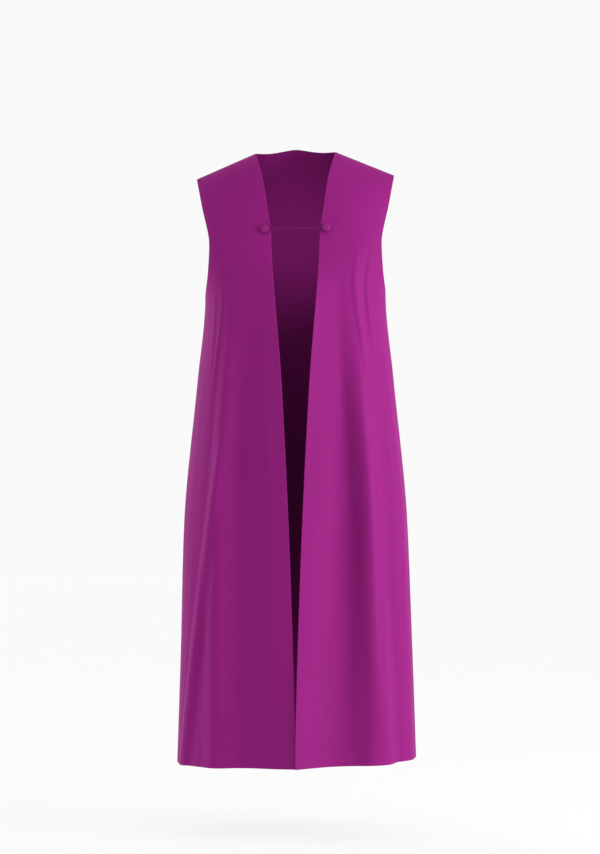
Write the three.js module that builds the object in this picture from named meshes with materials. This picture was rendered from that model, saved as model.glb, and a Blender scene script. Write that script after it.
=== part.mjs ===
// A chimere: the long sleeveless over-robe of a bishop. It hangs open down the front and is
// held across the chest by a cord looped round two cloth-covered buttons.
//
// Lengths are millimetres, +Z is up and the robe faces -Y, so +X is the wearer's left.
// The origin is where the wearer's shoulders hold the robe up: midway between the two neck
// points, on the line of the shoulder seams. The robe keeps the open form it has when worn.
import * as THREE from 'three';

const { clamp, lerp: mix, radToDeg, smoothstep } = THREE.MathUtils;

// Driving dimensions of the cut.
const LENGTH = 1400; // neck point straight down to the hem
const SHOULDER_WIDTH = 456; // tip to tip
const NECK_WIDTH = 184; // neck point to neck point
const SHOULDER_DROP = 57; // neck point down to shoulder tip
const ARMHOLE_DEPTH = 273; // shoulder tip down to the underarm
const NAPE_BACK = 60; // how far behind the neck points the back neckline runs
const NECK_SLOPE_RISE = 52; // the shoulder line, carried on over the neck, would rise this much
const NECKLINE_SQUARE = 2.2; // squareness of the back neckline, seen from above
const NECKLINE_SPREAD = 0.75; // lower values spread it wider behind the neck points
const HIGH_SHOULDER = 9; // the left tip hangs this much above the right one
const CLOTH = 2; // thickness of the cloth wall
const SEAM_GAP = 0.3; // between two pieces that are sewn together

// The fastening.
const BUTTON_HEIGHT = -182; // height of the cloth that carries them, at the front edge
const BUTTON_INSET = 13; // button centre to front edge
const BUTTON_RADIUS = 10.6;
const BUTTON_RIM = 2; // height of the rolled rim
const BUTTON_DOME = 3.4; // height of the crown above the rim
const SHANK_RADIUS = 2.2;
const SHANK_HEIGHT = 3.6;
const STRAND_RADIUS = 1.15; // the cord is two strands of one closed loop
const STRAND_GAP = 0.5; // between the strands, and between cord and shank
const TWISTS = 4; // turns of one strand round the other
const PARTING = 24; // distance from a button at which the strands come together
const EDGE_LIFT = 1.2; // how far the cord rises to pass over the cloth edge

// Exponents of the roll over the shoulder, read from the side. A higher CHEST_RISE keeps the
// cloth upright for longer, and a higher SHOULDER_ROLL rounds the shoulder more.
const CHEST_RISE = 2.4;
const SHOULDER_ROLL = 1.9;

// Below the cord, a front edge hangs this much before the level section.
const EDGE_FORWARD = { left: 26, right: 18 };
const EDGE_FADE = 105; // how far from the edge that dies out
const EDGE_FROM = -200; // height at which it starts
const EDGE_FULL = -400; // height at which it is full

const HALF_SHOULDER = SHOULDER_WIDTH / 2;
const HALF_NECK = NECK_WIDTH / 2;
const UNDERARM = -SHOULDER_DROP - ARMHOLE_DEPTH;
const HEM = -LENGTH;

// Level sections of the hanging robe: half width, depth in front of and behind the seam
// plane, and squareness, the exponent of the superellipse (2 is an ellipse).
const SECTIONS = [
  { at: 'neck point', z: 0, half: 266, front: 131, back: 123, square: 2.8 },
  { at: 'chest', z: -200, half: 240, front: 136, back: 130, square: 2.8 },
  { at: 'underarm', z: UNDERARM, half: 208, front: 138, back: 130, square: 2.8 },
  { at: 'waist', z: -525, half: 226, front: 152, back: 134, square: 2.65 },
  { at: 'hip', z: -850, half: 257, front: 172, back: 160, square: 2.5 },
  { at: 'knee', z: -1130, half: 266, front: 186, back: 184, square: 2.35 },
  { at: 'hem', z: HEM, half: 275, front: 203, back: 206, square: 2.15 },
];

// Half the gap between the two front edges.
const FRONT_EDGE = [
  { at: 'neck point', z: 0, x: HALF_NECK },
  { at: 'collar bone', z: -63, x: 75 },
  { at: 'above the cord', z: -148, x: 61.5 },
  { at: 'cord', z: -188, x: 56 },
  { at: 'breast', z: -255, x: 53 },
  { at: 'waist', z: -525, x: 32 },
  { at: 'knee', z: -980, x: 10.5 },
  { at: 'shin', z: -1320, x: 0.6 },
  { at: 'hem', z: HEM, x: 0.05 },
];

// Half width across the armhole edges of the fronts and of the back.
const ARMHOLE = [
  { at: 'shoulder tip', z: -SHOULDER_DROP, front: HALF_SHOULDER, back: HALF_SHOULDER },
  { at: 'shoulder bone', z: -107, front: 218, back: 220 },
  { at: 'chest', z: -216, front: 197, back: 201 },
  { at: 'side chest', z: -275, front: 200, back: 202 },
  { at: 'underarm', z: UNDERARM, front: 208, back: 208 },
];

// Soft folds that run down to the hem. at is the girth angle of the fold in degrees from the
// centre front, positive round the wearer's left side, and wide is its half width in the same
// degrees, both where the fold starts and at the hem. It starts at z = from and has its full
// height, in millimetres, at z = full. A trough has a height below zero.
const FOLDS = [
  { name: 'left inner trough', from: -380, full: -1080, at: [23.5, 17.7], wide: [13, 18.8], height: -15.6 },
  { name: 'left breast fold', from: -190, full: -740, at: [29, 43.5], wide: [12, 17], height: 22 },
  { name: 'left side trough', from: -330, full: -800, at: [49, 54], wide: [9, 9], height: -6 },
  { name: 'left side fold', from: -380, full: -900, at: [66, 70], wide: [9, 10], height: 5 },
  { name: 'left side flare', from: -700, full: -1250, at: [82, 86], wide: [18, 22], height: 3.5 },
  { name: 'right trough', from: -280, full: -800, at: [-24, -23.5], wide: [13, 18], height: -13.5 },
  { name: 'right breast fold', from: -250, full: -700, at: [-37, -39], wide: [10, 12], height: 9 },
  { name: 'right side trough', from: -480, full: -900, at: [-29, -59], wide: [5, 7], height: -2 },
  { name: 'right side fold', from: -440, full: -900, at: [-25.5, -68], wide: [6, 8], height: 7 },
  { name: 'right side flat', from: -800, full: -1250, at: [-88, -88], wide: [18, 22], height: -2 },
  { name: 'left side-back trough', from: -480, full: -950, at: [104, 101], wide: [9, 12], height: -6 },
  { name: 'left side-back fold', from: -380, full: -900, at: [120, 121], wide: [12, 18], height: 12 },
  { name: 'left back trough', from: -330, full: -850, at: [140, 141], wide: [10, 14], height: -7 },
  { name: 'left back fold', from: -280, full: -800, at: [157, 158], wide: [11, 17], height: 11 },
  { name: 'centre back trough', from: -300, full: -880, at: [176, 178], wide: [11, 14], height: -8 },
  { name: 'right back fold', from: -290, full: -760, at: [-164, -161], wide: [12, 19], height: 13 },
  { name: 'right back trough', from: -360, full: -900, at: [-143, -138], wide: [11, 15], height: -7 },
  { name: 'right side-back fold', from: -420, full: -980, at: [-124, -117], wide: [12, 16], height: 10 },
  { name: 'right side-back trough', from: -520, full: -1000, at: [-104, -98], wide: [9, 10], height: -4 },
];

// A smooth curve through one column of a table, as a function of height. Harmonic slopes
// keep it from swinging past the rows.
function curveOf(rows, column) {
  const secant = rows.slice(1).map((row, i) => (row[column] - rows[i][column]) / (row.z - rows[i].z));
  const slope = rows.map((_, i) => {
    const [above, below] = [secant[i - 1] ?? secant[i], secant[i] ?? secant[i - 1]];
    return above * below > 0 ? (2 * above * below) / (above + below) : 0;
  });
  return (height) => {
    const z = clamp(height, rows.at(-1).z, rows[0].z);
    const i = Math.max(1, rows.findIndex((row) => row.z <= z)) - 1;
    const [top, end] = [rows[i], rows[i + 1]];
    const span = end.z - top.z;
    const t = (z - top.z) / span;
    return (
      top[column] * (1 + 2 * t) * (1 - t) ** 2 +
      end[column] * t * t * (3 - 2 * t) +
      slope[i] * span * t * (1 - t) ** 2 +
      slope[i + 1] * span * t * t * (t - 1)
    );
  };
}

const section = {
  half: curveOf(SECTIONS, 'half'),
  front: curveOf(SECTIONS, 'front'),
  back: curveOf(SECTIONS, 'back'),
  square: curveOf(SECTIONS, 'square'),
};
const frontEdge = curveOf(FRONT_EDGE, 'x');
const armhole = { front: curveOf(ARMHOLE, 'front'), back: curveOf(ARMHOLE, 'back') };

// 0 at the underarm and below, 1 at the shoulder seam.
const riseAt = (height) => Math.max(0, 1 - height / UNDERARM);

// Share of the section's depth that is left at a rise, and the rise that leaves a share.
const rollOver = (rise) => (1 - rise ** CHEST_RISE) ** (1 / SHOULDER_ROLL);
const riseOfShare = (share) => (1 - share ** SHOULDER_ROLL) ** (1 / CHEST_RISE);

// How far the folds push the cloth out at a girth angle and height.
function foldDepth(girth, z) {
  return FOLDS.reduce((sum, fold) => {
    const down = clamp((fold.from - z) / (fold.from - HEM), 0, 1);
    const wide = mix(...fold.wide, down);
    const turn = girth - mix(...fold.at, down);
    const away = (turn - 360 * Math.round(turn / 360)) / wide;
    if (Math.abs(away) >= 1) return sum;
    return sum + fold.height * smoothstep(-z, -fold.from, -fold.full) * (1 - away * away) ** 2;
  }, 0);
}

// Point of the outer face at a sideways position x >= 0 and height z, on the front or the
// back. Up to the underarm it lies on the level section, and above it the cloth rolls over
// to the seam plane as rise goes to 1.
function clothPoint(side, face, x, z, rise) {
  const half = section.half(z);
  const depth = section[face](z);
  const square = section.square(z);
  const share = Math.min(1, x / half);
  const toFront = face === 'front' ? -1 : 1;
  const ring = depth * (1 - share ** square) ** (1 / square);
  const nearEdge = face === 'front' ? 1 - clamp((x - frontEdge(z)) / EDGE_FADE, 0, 1) : 0;
  const hang = EDGE_FORWARD[side > 0 ? 'left' : 'right'];
  const forward = hang * smoothstep(-z, -EDGE_FROM, -EDGE_FULL) * nearEdge ** 2;
  const point = new THREE.Vector3(side * x, toFront * (ring + forward) * rollOver(rise), z);

  const turn = radToDeg(Math.asin(share ** (square / 2)));
  const girth = side * (face === 'front' ? turn : 180 - turn);
  const outward = new THREE.Vector3(
    (side * share ** (square - 1)) / half,
    (toFront * (ring / depth) ** (square - 1)) / depth,
    0,
  ).normalize();
  point.addScaledVector(outward, foldDepth(girth, z));

  point.y += (toFront * SEAM_GAP) / 2;
  point.z += (HIGH_SHOULDER * point.x) / SHOULDER_WIDTH;
  return point;
}

// Outer face of a front: across runs from 0 at the front edge to 1 at the side seam or
// armhole edge, and height is measured on the front edge.
function frontPoint(side, across, height) {
  const rise = riseAt(height);
  const z = height - SHOULDER_DROP * across * rise;
  const low = Math.min(height, UNDERARM);
  const [half, square] = [section.half(low), section.square(low)];
  const start = Math.asin((frontEdge(low) / half) ** (square / 2));
  const ringX = half * Math.sin(mix(start, Math.PI / 2, across)) ** (2 / square);
  const share = mix((ringX - frontEdge(low)) / (half - frontEdge(low)), across, smoothstep(rise, 0, 1));
  const outer = rise > 0 ? armhole.front(height - SHOULDER_DROP * rise) : half;
  const x = mix(frontEdge(height), outer, share);
  return clothPoint(side, 'front', x, z, rise);
}

// Height of the shoulder line at a sideways position. Inside the neck points it is the line
// that the cloth would follow if no neckline were cut.
function shoulderLine(x) {
  const slope = SHOULDER_DROP / (HALF_SHOULDER - HALF_NECK);
  if (x >= HALF_NECK) return -slope * (x - HALF_NECK);
  const inward = 1 - x / HALF_NECK;
  const rising = NECK_SLOPE_RISE * inward * inward * (3 - 2 * inward);
  return rising + slope * HALF_NECK * inward * (1 - inward) ** 2;
}

// Rise at which the back neckline crosses a sideways position: 1 from the neck point on.
function necklineRise(x) {
  if (x >= HALF_NECK) return 1;
  const behind = NAPE_BACK * (1 - (x / HALF_NECK) ** NECKLINE_SQUARE) ** NECKLINE_SPREAD;
  return riseOfShare(behind / section.back(UNDERARM));
}

// Outer face of the back: across runs from -1 at the right side seam to 1 at the left one.
// Its top edge is the back neckline between the neck points, then the shoulder seams.
function backPoint(across, height) {
  const away = Math.abs(across);
  const topX = HALF_SHOULDER * away;
  const rise = riseAt(height) * necklineRise(topX);
  const z = rise > 0 ? mix(UNDERARM, shoulderLine(topX), rise) : height;
  const square = section.square(Math.min(height, UNDERARM));
  const ringShare = Math.sin((away * Math.PI) / 2) ** (2 / square);
  const share = mix(ringShare, away, smoothstep(riseAt(height), 0, 1));
  const outer = rise > 0 ? armhole.back(mix(UNDERARM, -SHOULDER_DROP, rise)) : section.half(height);
  const side = across < 0 ? -1 : 1;
  return clothPoint(side, 'back', outer * share, z, rise);
}

// Outward unit normal of a face given as a function of two parameters, by differences.
function normalOf(pointAt, u, v, uRange, vRange) {
  const uStep = (uRange[1] - uRange[0]) / 400;
  const vStep = (vRange[1] - vRange[0]) / 2000;
  const along = (low, high, at, step, build) => {
    const [a, b] = [Math.max(low, at - step), Math.min(high, at + step)];
    return build(b).sub(build(a));
  };
  const across = along(...uRange, u, uStep, (value) => pointAt(value, v));
  const up = along(...vRange, v, vStep, (value) => pointAt(u, value));
  return across.cross(up).normalize();
}

// A closed cloth wall on an outer face: the inner face lies CLOTH inside it. onSeam says
// where an edge is sewn to its neighbour, so that its end face stays in the seam plane.
function clothWall(pointAt, columns, rows, facing, onSeam) {
  const [uRange, vRange] = [columns, rows].map((list) => [list[0], list.at(-1)]);
  const outer = [];
  const inner = [];
  for (const v of rows) {
    for (const u of columns) {
      const normal = normalOf(pointAt, u, v, uRange, vRange).multiplyScalar(facing);
      if (onSeam(u, v)) normal.setY(0).normalize();
      const point = pointAt(u, v);
      outer.push(point);
      inner.push(point.clone().addScaledVector(normal, -CLOTH));
    }
  }
  const points = [...outer, ...inner];
  const indices = [];
  const quad = (a, b, c, d) => {
    if (facing > 0) indices.push(a, b, c, a, c, d);
    else indices.push(a, c, b, a, d, c);
  };
  const [wide, tall, count] = [columns.length, rows.length, outer.length];
  const at = (i, j) => j * wide + i;
  for (let j = 0; j + 1 < tall; j++) {
    for (let i = 0; i + 1 < wide; i++) {
      const [a, b, c, d] = [at(i, j), at(i + 1, j), at(i + 1, j + 1), at(i, j + 1)];
      quad(a, b, c, d);
      quad(a + count, d + count, c + count, b + count);
    }
  }
  const rim = [];
  for (let i = 0; i + 1 < wide; i++) rim.push(at(i, 0));
  for (let j = 0; j + 1 < tall; j++) rim.push(at(wide - 1, j));
  for (let i = wide - 1; i > 0; i--) rim.push(at(i, tall - 1));
  for (let j = tall - 1; j > 0; j--) rim.push(at(0, j));
  rim.forEach((a, k) => {
    const b = rim[(k + 1) % rim.length];
    quad(a, a + count, b + count, b);
  });
  return new THREE.BufferGeometry()
    .setAttribute('position', new THREE.Float32BufferAttribute(points.flatMap((p) => p.toArray()), 3))
    .setIndex(indices);
}

const evenly = (from, to, steps) => Array.from({ length: steps + 1 }, (_, i) => mix(from, to, i / steps));

// Rows of the walls, from the hem up: even down the skirt, and closer where the armhole
// turns at its foot and where the cloth rolls over the shoulder.
const SKIRT_ROWS = 15;
const YOKE_RISES = [
  0.012, 0.04, 0.085, 0.15, 0.24, 0.34, 0.45, 0.56, 0.66, 0.75, 0.83, 0.895, 0.945, 0.98, 1,
];
const ROWS = [...evenly(HEM, UNDERARM, SKIRT_ROWS), ...YOKE_RISES.map((rise) => UNDERARM * (1 - rise))];
const FRONT_COLUMNS = evenly(0, 1, 17);
const NECK_SHARE = HALF_NECK / HALF_SHOULDER;
const BACK_COLUMNS = [
  ...evenly(-1, -NECK_SHARE, 11),
  ...evenly(-NECK_SHARE, NECK_SHARE, 14).slice(1, -1),
  ...evenly(NECK_SHARE, 1, 11),
];

function namedMesh(name, geometry, material) {
  const mesh = new THREE.Mesh(geometry, material);
  mesh.name = name;
  return mesh;
}

// side is 1 for the wearer's left and -1 for the right.
function front(name, side, material) {
  const onSeam = (across, height) => height === 0 || (across === 1 && height <= UNDERARM);
  const pointAt = (across, height) => frontPoint(side, across, height);
  return namedMesh(name, clothWall(pointAt, FRONT_COLUMNS, ROWS, side, onSeam), material);
}

function back(name, material) {
  const onSeam = (across, height) => {
    const away = Math.abs(across);
    return (height === 0 && away >= NECK_SHARE) || (away === 1 && height <= UNDERARM);
  };
  return namedMesh(name, clothWall(backPoint, BACK_COLUMNS, ROWS, -1, onSeam), material);
}

// Where a button is sewn: the place on the front's outer face, and three directions there,
// out of the cloth, up along it, and inward to the other button.
function buttonSeat(side) {
  const pointAt = (across, height) => frontPoint(side, across, height);
  const insetAt = (across) => Math.abs(pointAt(across, BUTTON_HEIGHT).x) - frontEdge(BUTTON_HEIGHT);
  let across = BUTTON_INSET / (armhole.front(BUTTON_HEIGHT) - frontEdge(BUTTON_HEIGHT));
  for (let i = 0; i < 8; i++) across *= BUTTON_INSET / insetAt(across);
  const out = normalOf(pointAt, across, BUTTON_HEIGHT, [0, 1], [HEM, 0]).multiplyScalar(side);
  const up = new THREE.Vector3(0, 0, 1).addScaledVector(out, -out.z).normalize();
  const inward = new THREE.Vector3().crossVectors(up, out).multiplyScalar(side).normalize();
  return { place: pointAt(across, BUTTON_HEIGHT), out, up, inward };
}

// A domed button covered in the cloth, on its shank, turned from its profile.
function button(name, seat, material) {
  const foot = SEAM_GAP;
  const under = foot + SHANK_HEIGHT;
  const rim = under + BUTTON_RIM;
  const top = rim + BUTTON_DOME;
  const profile = new THREE.Path();
  profile.moveTo(0, foot);
  profile.lineTo(SHANK_RADIUS, foot);
  profile.lineTo(SHANK_RADIUS, under);
  profile.lineTo(BUTTON_RADIUS - BUTTON_RIM, under);
  profile.quadraticCurveTo(BUTTON_RADIUS, under, BUTTON_RADIUS, rim);
  profile.bezierCurveTo(BUTTON_RADIUS, mix(rim, top, 0.7), BUTTON_RADIUS / 2, top, 0, top);
  const geometry = new THREE.LatheGeometry(profile.getPoints(6), 28);
  const mesh = namedMesh(name, geometry, material);
  mesh.quaternion.setFromUnitVectors(new THREE.Vector3(0, 1, 0), seat.out);
  mesh.position.copy(seat.place);
  return mesh;
}

// The closed line of the cord: out along one strand, round the right shank, back along the
// other strand and round the left shank. The strands part near the shanks.
class CordLine extends THREE.Curve {
  constructor(left, right) {
    super();
    this.radius = SHANK_RADIUS + STRAND_GAP + STRAND_RADIUS;
    this.ends = [left, right].map((seat) => ({
      ...seat,
      centre: seat.place.clone().addScaledVector(seat.out, SEAM_GAP + SHANK_HEIGHT / 2),
    }));
    this.span = this.ends[0].centre.distanceTo(this.ends[1].centre);
    this.turn = Math.PI * this.radius;
  }

  // Point of a strand at a share of the way from the left button to the right one.
  strand(share, sign) {
    const [left, right] = this.ends;
    const near = Math.min(share, 1 - share) * this.span;
    const end = share < 0.5 ? left : right;
    const middle = left.centre.clone().lerp(right.centre, share);
    middle.addScaledVector(end.out, EDGE_LIFT * smoothstep(near, 0, BUTTON_INSET));
    const apart = mix(this.radius, STRAND_RADIUS + STRAND_GAP / 2, smoothstep(near, 0, PARTING));
    const parted = PARTING / this.span;
    const twist = TWISTS * 2 * Math.PI * smoothstep(share, parted, 1 - parted);
    return middle
      .addScaledVector(end.up, sign * apart * Math.cos(twist))
      .addScaledVector(end.out, -sign * apart * Math.sin(twist));
  }

  // Point of the half turn round a shank, as the angle goes from 0 to pi.
  loop(end, angle, sign) {
    return end.centre
      .clone()
      .addScaledVector(end.up, sign * this.radius * Math.cos(angle))
      .addScaledVector(end.inward, -this.radius * Math.sin(angle));
  }

  getPoint(t, target = new THREE.Vector3()) {
    const half = this.span + this.turn;
    const along = (t % 1) * 2 * half;
    const [left, right] = this.ends;
    const onReturn = along >= half;
    const run = onReturn ? along - half : along;
    const sign = onReturn ? -1 : 1;
    if (run >= this.span) {
      const angle = (run - this.span) / this.radius;
      return target.copy(this.loop(onReturn ? left : right, angle, sign));
    }
    const share = onReturn ? 1 - run / this.span : run / this.span;
    return target.copy(this.strand(share, sign));
  }
}

function closureCord(name, left, right, material) {
  const line = new CordLine(left, right);
  return namedMesh(name, new THREE.TubeGeometry(line, 132, STRAND_RADIUS, 8, true), material);
}

function dyed(name, color, roughness) {
  return new THREE.MeshStandardMaterial({ name, color, roughness, metalness: 0 });
}

const chimere = new THREE.Group();
chimere.name = 'chimere';
const leftSeat = buttonSeat(1);
const rightSeat = buttonSeat(-1);
chimere.add(
  front('front_left', 1, dyed('left_cloth', 0x932580, 0.75)),
  front('front_right', -1, dyed('right_cloth', 0x932580, 0.75)),
  back('back', dyed('back_cloth', 0x932580, 0.75)),
  button('button_left', leftSeat, dyed('left_button_cloth', 0x962a88, 0.65)),
  button('button_right', rightSeat, dyed('right_button_cloth', 0x962a88, 0.65)),
  closureCord('closure_cord', leftSeat, rightSeat, dyed('silk_cord', 0x6f1a62, 0.5)),
);

export default chimere;
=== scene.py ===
"""A purple chimere, the long sleeveless over-robe of a bishop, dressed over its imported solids.

Every piece is worked out in millimetres in the frame of the solids, and turned to metres when
its mesh is made. +Z is up, the robe faces -Y, and +X is the wearer's left.
"""
import math
from collections import namedtuple

import bpy
import numpy as np
from bpy.props import FloatProperty, FloatVectorProperty, IntProperty, PointerProperty
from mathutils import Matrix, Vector


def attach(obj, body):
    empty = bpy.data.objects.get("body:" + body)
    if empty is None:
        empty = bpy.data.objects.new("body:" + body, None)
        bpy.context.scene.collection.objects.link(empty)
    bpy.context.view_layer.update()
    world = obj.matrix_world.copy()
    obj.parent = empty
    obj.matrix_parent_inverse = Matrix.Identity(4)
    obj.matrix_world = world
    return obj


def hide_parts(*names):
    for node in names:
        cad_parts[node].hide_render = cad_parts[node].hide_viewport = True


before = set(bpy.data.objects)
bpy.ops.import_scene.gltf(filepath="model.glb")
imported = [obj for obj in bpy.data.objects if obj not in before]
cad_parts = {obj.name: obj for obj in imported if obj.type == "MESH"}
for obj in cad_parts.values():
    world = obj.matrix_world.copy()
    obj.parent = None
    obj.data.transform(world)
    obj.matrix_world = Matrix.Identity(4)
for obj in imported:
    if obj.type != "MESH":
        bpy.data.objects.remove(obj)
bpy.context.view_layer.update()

bl_info = {
    "name": "Chimere",
    "version": (1, 0, 0),
    "blender": (4, 5, 0),
    "location": "3D View > Sidebar > Chimere",
    "description": "Panels, fastening, cloth and stage of a chimere",
    "category": "Add Mesh",
}

MM = 0.001
BODY = "root"
SAME = 1e-9  # two shares or heights closer than this are the same

# ---------------------------------------------------------------- sizes of the cut, in mm

LENGTH = 1400.0
SHOULDER_WIDTH = 456.0
NECK_WIDTH = 184.0
SHOULDER_DROP = 57.0
ARMHOLE_DEPTH = 273.0
NAPE_BACK = 60.0
NECK_SLOPE_RISE = 52.0
NECKLINE_SQUARE = 2.2
NECKLINE_SPREAD = 0.75
HIGH_SHOULDER = 9.0
CHEST_RISE = 2.4
SHOULDER_ROLL = 1.9
EDGE_FORWARD = {1: 26.0, -1: 18.0}  # how far the left and the right front edge hang forward
EDGE_FADE = 105.0  # how far from the edge that dies out
EDGE_FROM = -200.0  # height at which it starts
EDGE_FULL = -400.0  # and at which it is full
FOOT_CLOSE = 0.8  # how far each front edge is drawn towards the other one at the foot
FOOT_FADE = 60.0  # how far from the edge that dies out
FOOT_FROM = -1240.0  # height at which it starts
FOOT_FULL = -1365.0  # and at which it is full

HALF_SHOULDER = SHOULDER_WIDTH / 2
HALF_NECK = NECK_WIDTH / 2
NECK_SHARE = HALF_NECK / HALF_SHOULDER
UNDERARM = -SHOULDER_DROP - ARMHOLE_DEPTH
HEM = -LENGTH

# Level sections of the hanging robe: half width, depth before and behind the seam plane, and
# squareness, the exponent of the superellipse.
Section = namedtuple("Section", "at z half front back square")
SECTIONS = [
    Section("neck point", 0, 266, 131, 123, 2.8),
    Section("chest", -200, 240, 136, 130, 2.8),
    Section("underarm", UNDERARM, 208, 138, 130, 2.8),
    Section("waist", -525, 226, 152, 134, 2.65),
    Section("hip", -850, 257, 172, 160, 2.5),
    Section("knee", -1130, 266, 186, 184, 2.35),
    Section("hem", HEM, 275, 203, 206, 2.15),
]

# Half the gap between the two front edges.
Edge = namedtuple("Edge", "at z x")
FRONT_EDGE = [
    Edge("neck point", 0, HALF_NECK),
    Edge("collar bone", -63, 75),
    Edge("above the cord", -148, 61.5),
    Edge("cord", -188, 56),
    Edge("breast", -255, 53),
    Edge("waist", -525, 32),
    Edge("knee", -980, 10.5),
    Edge("shin", -1320, 0.6),
    Edge("hem", HEM, 0.05),
]

# Half width across the armhole edges.
Armhole = namedtuple("Armhole", "at z front back")
ARMHOLE = [
    Armhole("shoulder tip", -SHOULDER_DROP, HALF_SHOULDER, HALF_SHOULDER),
    Armhole("shoulder bone", -107, 218, 220),
    Armhole("chest", -216, 197, 201),
    Armhole("side chest", -275, 200, 202),
    Armhole("underarm", UNDERARM, 208, 208),
]

# The sizes that a panel is cut to, without its turnings: width and length in metres, area in square
# metres.
# The script defines this record but does not fill it in.
Cut = namedtuple("Cut", "width length area")

# Soft folds that run down to the hem: the heights at which they start and are full, their girth
# angles and half widths at the top and at the hem, in degrees, and how far they stand out. Girth
# angles go round from the centre front, positive to the wearer's left. A trough has a height
# below zero.
Fold = namedtuple("Fold", "name start full at_top at_hem wide_top wide_hem height")
FOLDS = [
    Fold("left inner trough", -380, -1080, 23.5, 17.7, 13, 18.8, -15.6),
    Fold("left breast fold", -190, -740, 29, 43.5, 12, 17, 22),
    Fold("left side trough", -330, -800, 49, 54, 9, 9, -6),
    Fold("left side fold", -380, -900, 66, 70, 9, 10, 5),
    Fold("right trough", -280, -800, -24, -23.5, 13, 18, -13.5),
    Fold("right breast fold", -250, -700, -37, -39, 10, 12, 9),
    Fold("right side trough", -480, -900, -29, -59, 5, 7, -2),
    Fold("right side fold", -440, -900, -25.5, -68, 6, 8, 7),
    Fold("right side flat", -800, -1250, -88, -88, 18, 22, -2),
    Fold("left side flare", -700, -1250, 82, 86, 18, 22, 3.5),
    Fold("left side-back trough", -480, -950, 104, 101, 9, 12, -6),
    Fold("left side-back fold", -380, -900, 120, 121, 12, 18, 12),
    Fold("left back trough", -330, -850, 140, 141, 10, 14, -7),
    Fold("left back fold", -280, -800, 157, 158, 11, 17, 11),
    Fold("centre back trough", -300, -880, 176, 178, 11, 14, -8),
    Fold("right back fold", -290, -760, -164, -161, 12, 19, 13),
    Fold("right back trough", -360, -900, -143, -138, 11, 15, -7),
    Fold("right side-back fold", -420, -980, -124, -117, 12, 16, 10),
    Fold("right side-back trough", -520, -1000, -104, -98, 9, 10, -4),
]

# Small creases that fade out at both ends: the heights of their ends, the girth angles there in
# degrees, and half width and height in mm.
Crease = namedtuple("Crease", "name top foot at_top at_foot wide height")
CREASES = [
    Crease("left breast streak", -225, -560, 30, 41, 13, 3.6),
    Crease("left breast hollow", -225, -480, 38.5, 47, 12, -2.9),
    Crease("left waist swell", -500, -1240, 29.5, 35.5, 26, 3.8),
    Crease("left waist hollow", -500, -1240, 37.5, 43, 22, -3.8),
    Crease("left underarm drag", -300, -470, 66, 57, 12, 1.1),
    Crease("left hip crease", -640, -1180, 47, 52, 16, -1.3),
    Crease("left hem crease", -980, -1420, 27, 29, 17, 1.2),
    Crease("left side crease", -760, -1420, 76, 73, 15, 1.4),
    Crease("right underarm drag", -310, -520, -58, -55, 12, 1.3),
    Crease("right breast streak", -290, -560, -47, -50, 10, 1.9),
    Crease("right waist hollow", -420, -900, -33, -36, 18, -0.9),
    Crease("right thigh streak", -760, -1500, -58, -76, 13, 0.6),
    Crease("right hem hollow", -1080, -1430, -20, -21, 20, -1.0),
    Crease("right edge roll", -480, -1440, -9.5, -4, 26, 1.8),
    Crease("right hem crease", -1150, -1430, -35, -38, 16, 0.9),
    Crease("left shoulder-blade drag", -200, -460, 124, 118, 18, 1.6),
    Crease("right shoulder-blade drag", -210, -500, -121, -116, 17, 1.4),
    Crease("left loin crease", -480, -980, 149, 150, 15, -1.6),
    Crease("right loin crease", -450, -900, -152, -150, 14, 1.5),
    Crease("left seat crease", -700, -1300, 131, 132, 16, 1.6),
    Crease("right seat crease", -740, -1380, -130, -128, 15, -1.5),
    Crease("centre seat crease", -620, -1200, 169, 168, 15, 1.4),
    Crease("centre hem crease", -1000, -1430, -172, -170, 17, 1.3),
]

# Slow unevenness of hanging cloth: waves round the whole robe, their lean in mm of drop for a
# wave, their phase in degrees and their height in mm.
Ripple = namedtuple("Ripple", "waves drop phase height")
RIPPLES = [
    Ripple(11, 1900, 20, 0.40),
    Ripple(19, 1300, 140, 0.22),
    Ripple(28, -900, 255, 0.12),
    Ripple(43, 620, 77, 0.05),
]

# The fastening.
BUTTON_HEIGHT = -182.0
BUTTON_INSET = 13.0
BUTTON_RADIUS = 10.6
BUTTON_RIM = 2.0
BUTTON_DOME = 3.4
SHANK_RADIUS = 2.2
SHANK_HEIGHT = 3.6
SEAM_GAP = 0.3
STRAND_RADIUS = 1.15
STRAND_GAP = 0.5
TWISTS = 4
PARTING = 24.0
EDGE_LIFT = 1.2

# Rows and columns of the meshes. A panel has two rows and two columns close to its open edges.
HEM_ROWS = (0.0, 1.6, 3.6)  # heights above the hem
SKIRT_FOOT = 7.0  # height above the hem at which the even rows start
SKIRT_ROWS = 156
YOKE_ROWS = 88
YOKE_CROWDING = 1.6  # above 1, the rows lie closer towards the shoulder seam
EDGE_COLUMNS = (0.010, 0.022)  # shares of the width
FRONT_COLUMNS = 112
NECK_COLUMNS = 36
SHOULDER_COLUMNS = 54
BUTTON_SIDES = 104
CORD_RINGS = 900
CORD_SIDES = 18
RIM_ANGLES = (35, 90, 145)  # degrees round a panel's edge at which its rounding has vertices
FLOOR_SIDES = 96

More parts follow.
